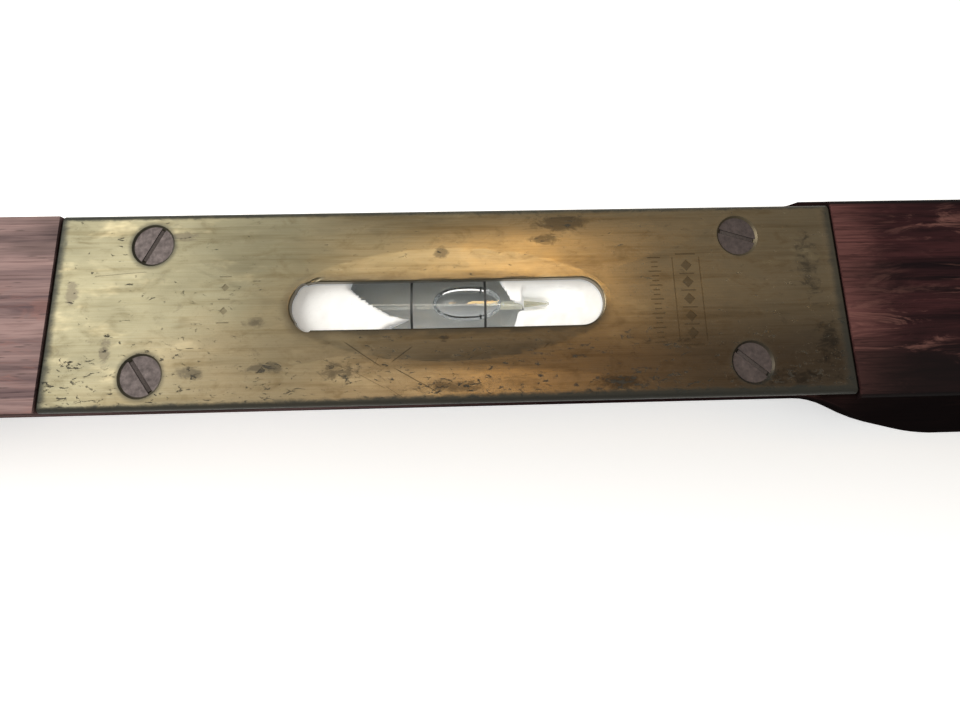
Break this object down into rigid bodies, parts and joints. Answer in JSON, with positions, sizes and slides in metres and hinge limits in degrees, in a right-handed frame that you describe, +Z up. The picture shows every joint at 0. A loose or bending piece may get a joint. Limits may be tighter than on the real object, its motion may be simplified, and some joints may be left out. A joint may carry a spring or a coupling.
{
  "type": "spirit level",
  "caption": "Wooden spirit level with a sight slot in a brass top plate, side views to the level vial, and a plumb vial in a round window.",
  "frame": {"origin": "middle of the base face, halfway along the stock", "axes": "+X along the stock towards the plumb vial, +Y across it from the front side to the rear side, +Z up through the top plate"},
  "size_m": [0.61, 0.051, 0.076],
  "materials": {
    "stock_wood": "dark oiled hardwood with worn corners",
    "plate_brass": "old brass, brushed lengthwise, spotted and tarnished",
    "screw_steel": "dark browned steel",
    "brass_screw": "tarnished brass",
    "vial_glass": "clear blown glass",
    "spirit": "clear spirit, faintly grey-green",
    "bubble": "clear vapour",
    "line_black": "black enamel",
    "plaster": "chalky white plaster"
  },
  "bodies": {
    "level": {"stock": "stock_wood", "top_plate": "plate_brass", "top_plate_screws": "screw_steel", "level_vial_glass": "vial_glass", "level_reading_lines": "line_black", "level_spirit": "spirit", "level_plaster_bed": "plaster", "level_plaster_left": "plaster", "level_plaster_right": "plaster", "plumb_vial_glass": "vial_glass", "plumb_reading_lines": "line_black", "plumb_spirit": "spirit", "plumb_plaster_upper": "plaster", "plumb_plaster_lower": "plaster", "front_plumb_plate": "plate_brass", "rear_plumb_plate": "plate_brass", "front_plumb_screws": "brass_screw", "rear_plumb_screws": "brass_screw"},
    "level_bubble_body": {"level_bubble": "bubble"},
    "plumb_bubble_body": {"plumb_bubble": "bubble"}
  },
  "joints": [
    {"name": "level_bubble_slide", "type": "slide", "parent": "level", "child": "level_bubble_body", "axis": [1, 0, 0], "range_m": [-0.0152, 0.0022], "stiffness_N_per_m": 1},
    {"name": "plumb_bubble_slide", "type": "slide", "parent": "level", "child": "plumb_bubble_body", "axis": [0, 0, 1], "range_m": [-0.0188, 0], "stiffness_N_per_m": 1, "springref_m": 0.02}
  ]
}
